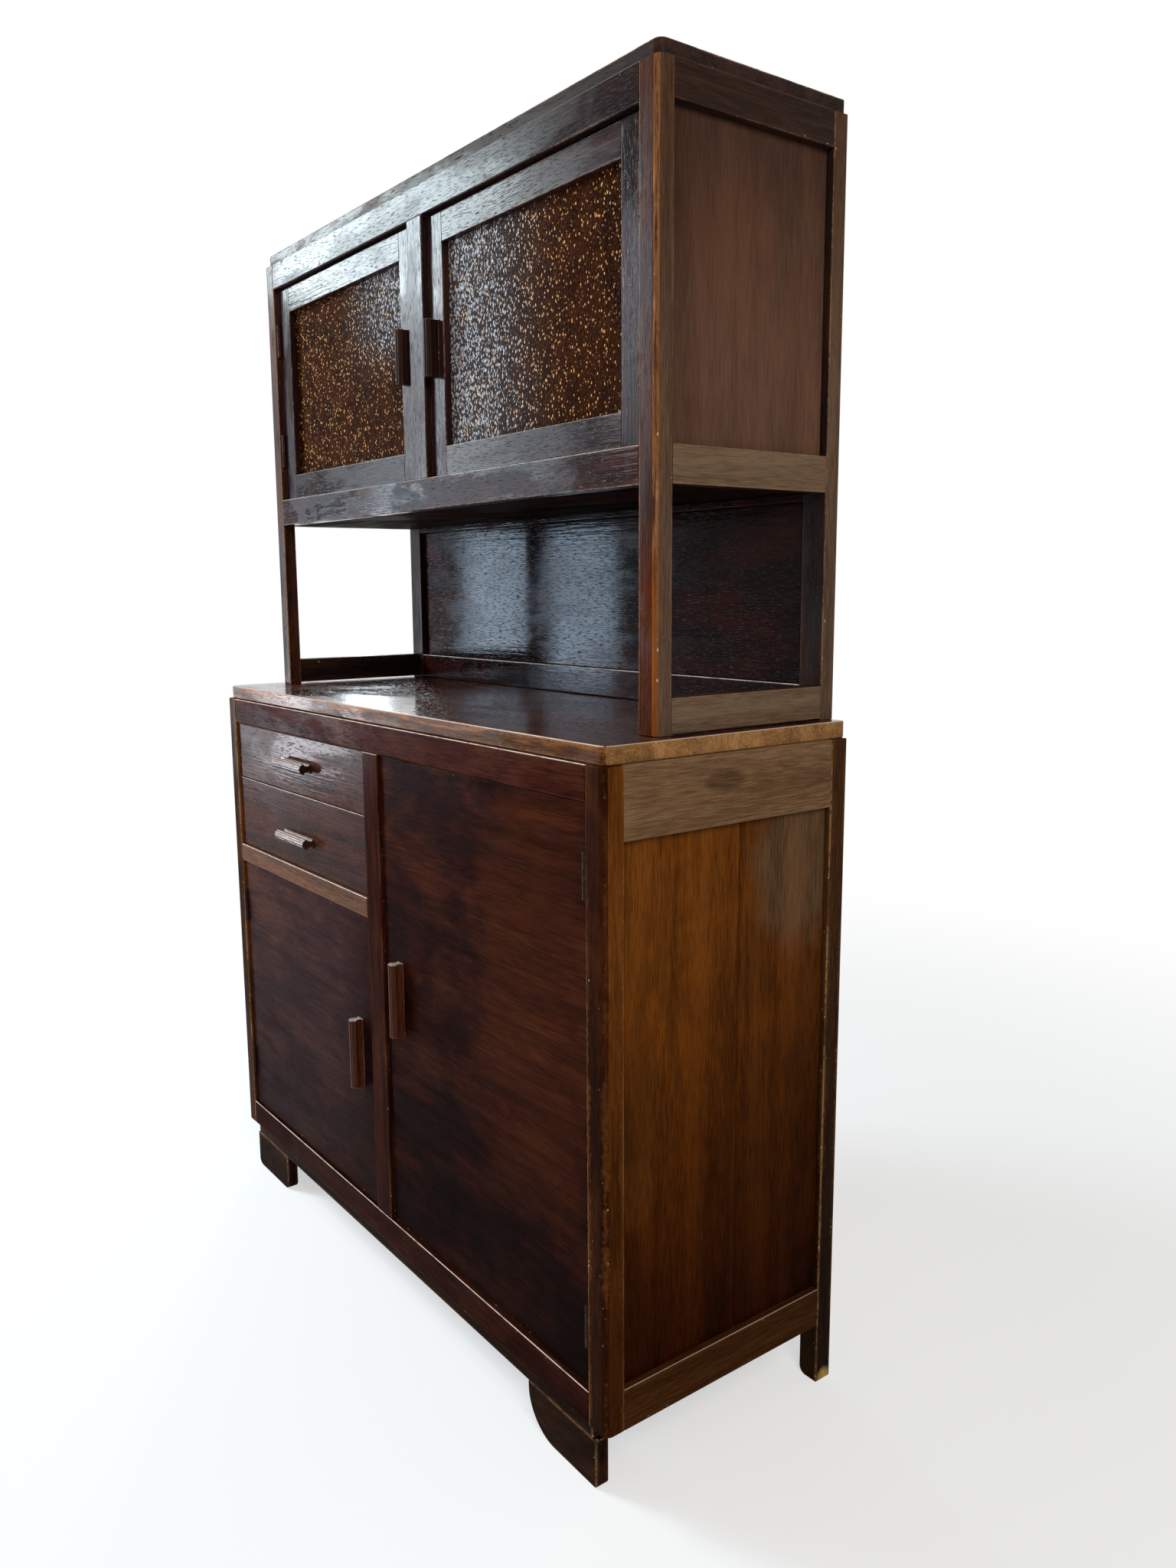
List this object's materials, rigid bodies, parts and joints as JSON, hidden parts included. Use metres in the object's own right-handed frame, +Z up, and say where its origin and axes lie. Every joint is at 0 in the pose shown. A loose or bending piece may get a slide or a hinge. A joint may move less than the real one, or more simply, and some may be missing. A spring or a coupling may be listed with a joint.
{
  "type": "display cabinet",
  "caption": "Two-part wooden display cabinet: base with drawers and flush doors, hutch with an open niche below glazed doors, all doors and drawers working.",
  "frame": {"origin": "on the floor, in the middle of the cabinet's overall width and depth, handles included", "axes": "+X to the cabinet's right as seen from the front, -Y out of the front, +Z up"},
  "size_m": [1.2, 0.447, 1.805],
  "materials": {
    "front_wood": "dark red-brown glossy varnish with fine grain",
    "edge_wood": "worn orange-brown varnish with chips at the rounded edges",
    "side_wood": "warm brown worn varnish with vertical streaks",
    "hutch_side_wood": "grey-brown matt varnish",
    "dark_wood": "nearly black red-brown varnish",
    "inner_wood": "bare pale wood, aged",
    "rail_wood": "lighter orange-brown varnish",
    "handle_wood": "dark orange-brown varnish on reeded wood",
    "amber_glass": "amber textured glass",
    "hinge_brass": "brass, dark with age and varnish"
  },
  "bodies": {
    "cabinet": {"base_front_posts": "edge_wood", "base_centre_post": "front_wood", "base_back_posts": "edge_wood", "base_top_rail": "front_wood", "base_drawer_rail": "rail_wood", "base_bottom_rail": "front_wood", "base_side_rails": "side_wood", "base_side_boards": "side_wood", "base_back_panel": "inner_wood", "base_floor": "dark_wood", "base_floor_cleats": "inner_wood", "base_front_feet": "front_wood", "base_partition": "inner_wood", "base_shelves": "inner_wood", "base_shelf_battens": "inner_wood", "drawer_runners": "inner_wood", "base_hinge_leaves": "hinge_brass", "table_top": "edge_wood", "hutch_front_posts": "edge_wood", "hutch_back_posts": "hutch_side_wood", "hutch_mullion": "front_wood", "hutch_top_rail": "front_wood", "hutch_mid_rail": "front_wood", "hutch_side_rails": "hutch_side_wood", "hutch_side_panels": "hutch_side_wood", "hutch_back_rails": "dark_wood", "display_floor": "dark_wood", "display_shelf": "inner_wood", "display_shelf_battens": "inner_wood", "display_back_panel": "inner_wood", "niche_back_panel": "dark_wood", "hutch_hinge_leaves": "hinge_brass", "cap_board": "edge_wood"},
    "left_glass_door": {"left_glass_stiles": "front_wood", "left_glass_rails": "front_wood", "left_glass_pane": "amber_glass", "left_glass_beads": "dark_wood", "left_glass_handle": "handle_wood", "left_glass_hinges": "hinge_brass"},
    "right_glass_door": {"right_glass_stiles": "front_wood", "right_glass_rails": "front_wood", "right_glass_pane": "amber_glass", "right_glass_beads": "dark_wood", "right_glass_handle": "handle_wood", "right_glass_hinges": "hinge_brass"},
    "left_door": {"left_door_panel": "front_wood", "left_door_handle": "handle_wood", "left_door_hinges": "hinge_brass"},
    "right_door": {"right_door_panel": "front_wood", "right_door_handle": "handle_wood", "right_door_hinges": "hinge_brass"},
    "upper_drawer": {"upper_drawer_front": "front_wood", "upper_drawer_box": "inner_wood", "upper_drawer_bottom": "inner_wood", "upper_drawer_handle": "handle_wood"},
    "lower_drawer": {"lower_drawer_front": "front_wood", "lower_drawer_box": "inner_wood", "lower_drawer_bottom": "inner_wood", "lower_drawer_handle": "handle_wood"}
  },
  "joints": [
    {"name": "left_glass_door_hinge", "type": "hinge", "parent": "cabinet", "child": "left_glass_door", "pos_m": [-0.5327, -0.0943, 1.546], "axis": [0, 0, -1], "range_deg": [0, 110]},
    {"name": "right_glass_door_hinge", "type": "hinge", "parent": "cabinet", "child": "right_glass_door", "pos_m": [0.5327, -0.0943, 1.546], "axis": [0, 0, 1], "range_deg": [0, 110]},
    {"name": "left_door_hinge", "type": "hinge", "parent": "cabinet", "child": "left_door", "pos_m": [-0.5592, -0.2043, 0.395], "axis": [0, 0, -1], "range_deg": [0, 110]},
    {"name": "right_door_hinge", "type": "hinge", "parent": "cabinet", "child": "right_door", "pos_m": [0.5592, -0.2043, 0.533], "axis": [0, 0, 1], "range_deg": [0, 110]},
    {"name": "upper_drawer_slide", "type": "slide", "parent": "cabinet", "child": "upper_drawer", "axis": [0, -1, 0], "range_m": [0, 0.28]},
    {"name": "lower_drawer_slide", "type": "slide", "parent": "cabinet", "child": "lower_drawer", "axis": [0, -1, 0], "range_m": [0, 0.28]}
  ]
}
